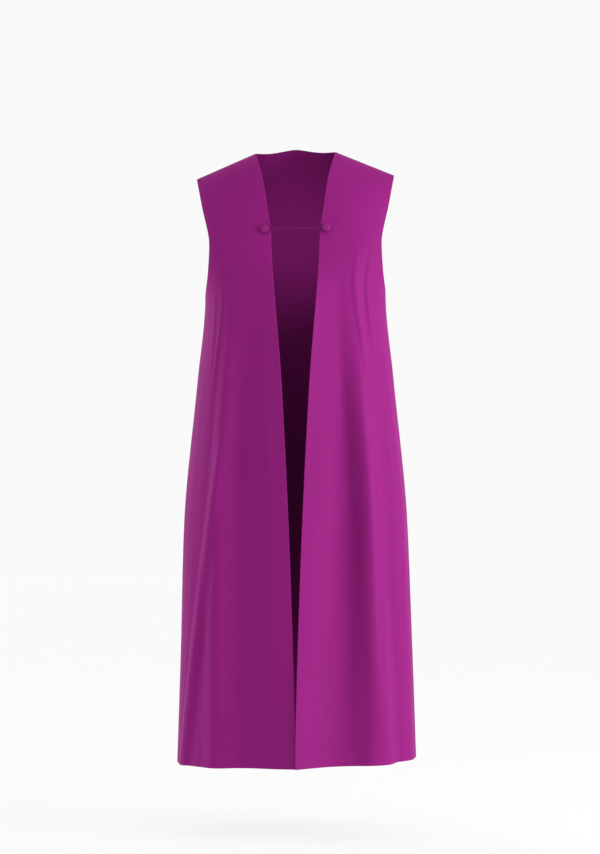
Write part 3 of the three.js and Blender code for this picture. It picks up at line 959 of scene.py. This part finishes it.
def worsted_gown_cloth(cloth):
    """Polyester and wool gown cloth: worsted yarn, woven in a fine twill, dyed and pressed.

    The close weave makes a smooth, even surface, and the pressed nap gives a faint bright sheen
    where the cloth turns away. Real twill lines are 0.4 mm apart; they are drawn coarser so
    that they show from close by. All three panels share it.
    """
    if "worsted_gown_cloth" in bpy.data.materials:
        return bpy.data.materials["worsted_gown_cloth"]
    material, tree = new_material("worsted_gown_cloth")
    cut = add_node(tree, "ShaderNodeUVMap", uv_map="cut").outputs["UV"]
    wear = add_node(tree, "ShaderNodeAttribute", attribute_name="wear").outputs["Fac"]
    reverse = add_node(tree, "ShaderNodeAttribute", attribute_name="reverse").outputs["Fac"]
    clouds = add_node(
        tree, "ShaderNodeTexNoise",
        {"Vector": cut, "Scale": CLOTH_CLOUDS, "Detail": 3.0, "Roughness": 0.55},
    )
    drawn = add_node(tree, "ShaderNodeMapping", {"Vector": cut, "Scale": (*SLUBS, 1.0)})
    yarn = add_node(
        tree, "ShaderNodeTexNoise", {"Vector": drawn.outputs["Vector"], "Scale": 1.0, "Detail": 2.0}
    )
    uneven = add_node(
        tree, "ShaderNodeMath",
        {0: clouds.outputs["Fac"], 1: 0.6, 2: yarn.outputs["Fac"]}, operation="MULTIPLY_ADD",
    )
    spread = add_node(
        tree, "ShaderNodeMapRange",
        {
            "Value": uneven.outputs[0], "From Min": 0.45, "From Max": 1.15,
            "To Min": 0.0, "To Max": 0.8,
        },
    )
    worn = add_node(
        tree, "ShaderNodeMath", {0: wear, 1: 0.35, 2: spread.outputs["Result"]},
        operation="MULTIPLY_ADD", use_clamp=True,
    )
    dyed = add_node(
        tree, "ShaderNodeMix",
        {0: worn.outputs[0], 6: (*cloth.colour, 1), 7: (*cloth.faded, 1)}, data_type="RGBA",
    )
    # Painted shade: the reverse face, inside the robe, is drawn darker.
    dyed_with_inside_shade = add_node(
        tree, "ShaderNodeMix",
        {0: reverse, 6: dyed.outputs[2], 7: shaded(cloth.colour, REVERSE_PAINTED_SHADE)},
        data_type="RGBA",
    )
    weave = twill_height(tree, cut, cloth.weave)
    woven = add_node(
        tree, "ShaderNodeBump", {"Strength": 0.30, "Distance": 0.00012, "Height": weave}
    )
    slub = add_node(
        tree, "ShaderNodeBump",
        {
            "Strength": 0.25, "Distance": 0.0002, "Height": yarn.outputs["Fac"],
            "Normal": woven.outputs["Normal"],
        },
    )
    sewn = add_node(
        tree, "ShaderNodeBump",
        {
            "Strength": 0.5, "Distance": 0.0006, "Height": blind_stitches(tree, cut),
            "Normal": slub.outputs["Normal"],
        },
        invert=True,
    )
    shader = add_node(
        tree, "ShaderNodeBsdfPrincipled",
        {
            "Base Color": dyed_with_inside_shade.outputs[2], "Roughness": 0.58, "IOR": 1.50,
            "Specular IOR Level": 0.04, "Sheen Weight": 0.03, "Sheen Roughness": 0.42,
            "Sheen Tint": (*cloth.bloom, 1), "Normal": sewn.outputs["Normal"],
        },
    )
    add_node(tree, "ShaderNodeOutputMaterial", {"Surface": shader.outputs["BSDF"]})
    return material


def button_cloth(fastening, cloth):
    """The gown cloth drawn tight over a mould, which flattens its nap and gives a little gloss."""
    material, tree = new_material("gown_cloth_on_button_mould")
    cut = add_node(tree, "ShaderNodeUVMap", uv_map="cut").outputs["UV"]
    thread = add_node(tree, "ShaderNodeAttribute", attribute_name="thread").outputs["Fac"]
    clouds = add_node(
        tree, "ShaderNodeTexNoise", {"Vector": cut, "Scale": BUTTON_CLOUDS, "Detail": 2.0}
    )
    colour = add_node(
        tree, "ShaderNodeMix",
        {0: clouds.outputs["Fac"], 6: (*fastening.button_colour, 1), 7: (*cloth.faded, 1)},
        data_type="RGBA",
    )
    # Painted shade: the rim and the underside of the button are drawn darker.
    rim_painted_shade = add_node(tree, "ShaderNodeAttribute", attribute_name="rim_painted_shade").outputs["Fac"]
    rim = add_node(
        tree, "ShaderNodeMix",
        {0: rim_painted_shade, 6: colour.outputs[2], 7: shaded(fastening.button_colour, BUTTON_RIM_PAINTED_SHADE)},
        data_type="RGBA",
    )
    shank = add_node(
        tree, "ShaderNodeMix", {0: thread, 6: rim.outputs[2], 7: (*fastening.cord_colour, 1)},
        data_type="RGBA",
    )
    weave = twill_height(tree, cut, cloth.weave * 0.8)
    woven = add_node(
        tree, "ShaderNodeBump", {"Strength": 0.30, "Distance": 0.00012, "Height": weave}
    )
    shader = add_node(
        tree, "ShaderNodeBsdfPrincipled",
        {
            "Base Color": shank.outputs[2], "Roughness": 0.46, "IOR": 1.50,
            "Specular IOR Level": 0.08, "Sheen Weight": 0.03, "Sheen Roughness": 0.35,
            "Sheen Tint": (*cloth.bloom, 1), "Normal": woven.outputs["Normal"],
        },
    )
    add_node(tree, "ShaderNodeOutputMaterial", {"Surface": shader.outputs["BSDF"]})
    return material


def rayon_cord(fastening, cloth):
    """Twisted rayon cord: bright filament yarn laid in plies. Its short glossy streaks are painted
    into the colour as lighter streaks along the filaments: painted highlight.
    """
    material, tree = new_material("twisted_rayon_cord")
    cut = add_node(tree, "ShaderNodeUVMap", uv_map="cut").outputs["UV"]
    groove = add_node(tree, "ShaderNodeAttribute", attribute_name="groove").outputs["Fac"]
    lean = (0, 0, math.radians(PLY_LEAN))
    laid = add_node(
        tree, "ShaderNodeMapping", {"Vector": cut, "Rotation": lean, "Scale": (*FIBRES, 1.0)}
    )
    fibre = add_node(
        tree, "ShaderNodeTexNoise", {"Vector": laid.outputs["Vector"], "Scale": 1.0, "Detail": 2.0}
    )
    # Painted shade: the cord is drawn darker in the grooves between its plies.
    depth = add_node(
        tree, "ShaderNodeMapRange",
        {"Value": groove, "From Min": 0.2, "From Max": 0.9, "To Min": 1.0, "To Max": 0.0},
    )
    dark = shaded(fastening.cord_colour, PLY_GROOVE_PAINTED_SHADE)
    groove_shaded_ply = add_node(
        tree, "ShaderNodeMix",
        {0: depth.outputs["Result"], 6: (*fastening.cord_colour, 1), 7: dark},
        data_type="RGBA",
    )
    # Painted highlight: lighter streaks along the filaments stand for the gloss of the rayon.
    streak = add_node(
        tree, "ShaderNodeMix",
        {0: fibre.outputs["Fac"], 6: groove_shaded_ply.outputs[2], 7: (*cloth.colour, 1)}, data_type="RGBA",
    )
    bump = add_node(
        tree, "ShaderNodeBump",
        {"Strength": 0.4, "Distance": 0.0001, "Height": fibre.outputs["Fac"]},
    )
    shader = add_node(
        tree, "ShaderNodeBsdfPrincipled",
        {
            "Base Color": streak.outputs[2], "Roughness": 0.44, "IOR": 1.52,
            "Specular IOR Level": 0.10, "Normal": bump.outputs["Normal"],
        },
    )
    add_node(tree, "ShaderNodeOutputMaterial", {"Surface": shader.outputs["BSDF"]})
    return material


def lit_floor(colour, glow):
    """Opal acrylic floor, sanded matt and lit from below, so shadows on it stay faint."""
    material, tree = new_material("opal_acrylic_floor")
    shader = add_node(
        tree, "ShaderNodeBsdfPrincipled",
        {
            "Base Color": (*colour, 1), "Roughness": 0.9, "Specular IOR Level": 0.1,
            "Emission Color": (1, 1, 1, 1), "Emission Strength": glow,
        },
    )
    add_node(tree, "ShaderNodeOutputMaterial", {"Surface": shader.outputs["BSDF"]})
    return material


# ---------------------------------------------------------------- operators


class CHIMERE_OT_fronts(bpy.types.Operator):
    """Add the two fronts"""

    bl_idname = "chimere.fronts"
    bl_label = "Fronts"

    def execute(self, context):
        cloth = context.scene.chimere_cloth
        material = worsted_gown_cloth(cloth)
        for side in (1, -1):
            panel = front_panel(side)
            mesh = panel_mesh(panel, cloth, [button_seat(side)])
            piece = new_piece(panel.name + "_cloth", mesh, material, panel.name)
        return {"FINISHED"}


class CHIMERE_OT_back(bpy.types.Operator):
    """Add the back"""

    bl_idname = "chimere.back"
    bl_label = "Back"

    def execute(self, context):
        cloth = context.scene.chimere_cloth
        panel = back_panel()
        mesh = panel_mesh(panel, cloth, [])
        piece = new_piece("back_cloth", mesh, worsted_gown_cloth(cloth), "back")
        return {"FINISHED"}


class CHIMERE_OT_buttons(bpy.types.Operator):
    """Add the two covered buttons"""

    bl_idname = "chimere.buttons"
    bl_label = "Buttons"

    def execute(self, context):
        fastening, cloth = context.scene.chimere_fastening, context.scene.chimere_cloth
        material = button_cloth(fastening, cloth)
        for name, side in (("button_left", 1), ("button_right", -1)):
            mesh = button_mesh(name, button_seat(side), fastening.gathers)
            new_piece("covered_" + name, mesh, material, name)
        return {"FINISHED"}


class CHIMERE_OT_cord(bpy.types.Operator):
    """Add the closure cord"""

    bl_idname = "chimere.cord"
    bl_label = "Cord"

    def execute(self, context):
        fastening, cloth = context.scene.chimere_fastening, context.scene.chimere_cloth
        mesh = cord_mesh("closure_cord", button_seat(1), button_seat(-1), fastening.ply_turns)
        new_piece("twisted_cord", mesh, rayon_cord(fastening, cloth), "closure_cord")
        return {"FINISHED"}


class CHIMERE_OT_stage(bpy.types.Operator):
    """Add the floor, the lights and the camera"""

    bl_idname = "chimere.stage"
    bl_label = "Stage"

    def execute(self, context):
        settings = context.scene.chimere_stage
        floor_z = HEM - settings.floor_drop / MM
        turn = np.linspace(0, 2 * np.pi, FLOOR_SIDES, endpoint=False)
        reach = FLOOR_RADIUS / MM
        rim = np.stack([reach * np.cos(turn), reach * np.sin(turn), 0 * turn + floor_z], axis=1)
        mesh = mesh_from("floor", rim, [list(range(len(turn)))])
        floor = bpy.data.objects.new("floor", mesh)
        mesh.materials.append(lit_floor(settings.floor_colour, settings.floor_glow))
        context.scene.collection.objects.link(floor)

        world = bpy.data.worlds.new("white_room")
        world.use_nodes = True
        room = world.node_tree.nodes["Background"]
        room.inputs["Color"].default_value = (1, 1, 1, 1)
        room.inputs["Strength"].default_value = settings.room
        context.scene.world = world
        context.scene.view_settings.view_transform = "Standard"

        hang_lamp(KEY, "AREA", settings.key_power)
        hang_lamp(FILL, "AREA", settings.fill_power)
        hang_lamp(BACK, "SUN", settings.back_strength).angle = math.radians(BACK_SPREAD)

        camera = bpy.data.cameras.new("camera")
        camera.sensor_width = SENSOR
        camera.lens = SENSOR * settings.distance / VIEW_HEIGHT
        holder = bpy.data.objects.new("camera", camera)
        holder.location = (VIEW_X, -settings.distance, VIEW_Z)
        holder.rotation_euler = (math.pi / 2, 0, 0)
        context.scene.collection.objects.link(holder)
        context.scene.camera = holder
        return {"FINISHED"}


def hang_lamp(place, kind, energy):
    """Hang a lamp round the robe, facing its middle."""
    lamp = bpy.data.lights.new(place.name, kind)
    lamp.energy = energy
    if kind == "AREA":
        lamp.shape = "RECTANGLE"
        lamp.size, lamp.size_y = place.wide, place.tall
    holder = bpy.data.objects.new(place.name, lamp)
    turn, rise = math.radians(place.azimuth), math.radians(place.elevation)
    level = math.cos(rise)
    away = Vector((math.sin(turn) * level, -math.cos(turn) * level, math.sin(rise)))
    holder.location = Vector((0, 0, VIEW_Z)) + away * LAMP_DISTANCE
    holder.rotation_euler = (-away).to_track_quat("-Z", "Y").to_euler()
    bpy.context.scene.collection.objects.link(holder)
    return lamp


class CHIMERE_PT_robe(bpy.types.Panel):
    """Pieces and settings of the chimere"""

    bl_label = "Chimere"
    bl_space_type = "VIEW_3D"
    bl_region_type = "UI"
    bl_category = "Chimere"

    def draw(self, context):
        layout = self.layout
        for settings, operators in GROUPS:
            box = layout.box()
            group = getattr(context.scene, settings)
            for name in group.__annotations__:
                box.prop(group, name)
            for operator in operators:
                box.operator(operator.bl_idname)


GROUPS = [
    ("chimere_cloth", [CHIMERE_OT_fronts, CHIMERE_OT_back]),
    ("chimere_fastening", [CHIMERE_OT_buttons, CHIMERE_OT_cord]),
    ("chimere_stage", [CHIMERE_OT_stage]),
]
SETTINGS = {
    "chimere_cloth": ChimereCloth,
    "chimere_fastening": ChimereFastening,
    "chimere_stage": ChimereStage,
}
CLASSES = [*SETTINGS.values(), *(cls for _, group in GROUPS for cls in group), CHIMERE_PT_robe]


def register():
    for cls in CLASSES:
        bpy.utils.register_class(cls)
    for name, group in SETTINGS.items():
        setattr(bpy.types.Scene, name, PointerProperty(type=group))


def unregister():
    for name in SETTINGS:
        delattr(bpy.types.Scene, name)
    for cls in reversed(CLASSES):
        bpy.utils.unregister_class(cls)


def main():
    register()
    bpy.ops.chimere.fronts()
    bpy.ops.chimere.back()
    bpy.ops.chimere.buttons()
    bpy.ops.chimere.cord()
    bpy.ops.chimere.stage()


if __name__ == "__main__":
    main()
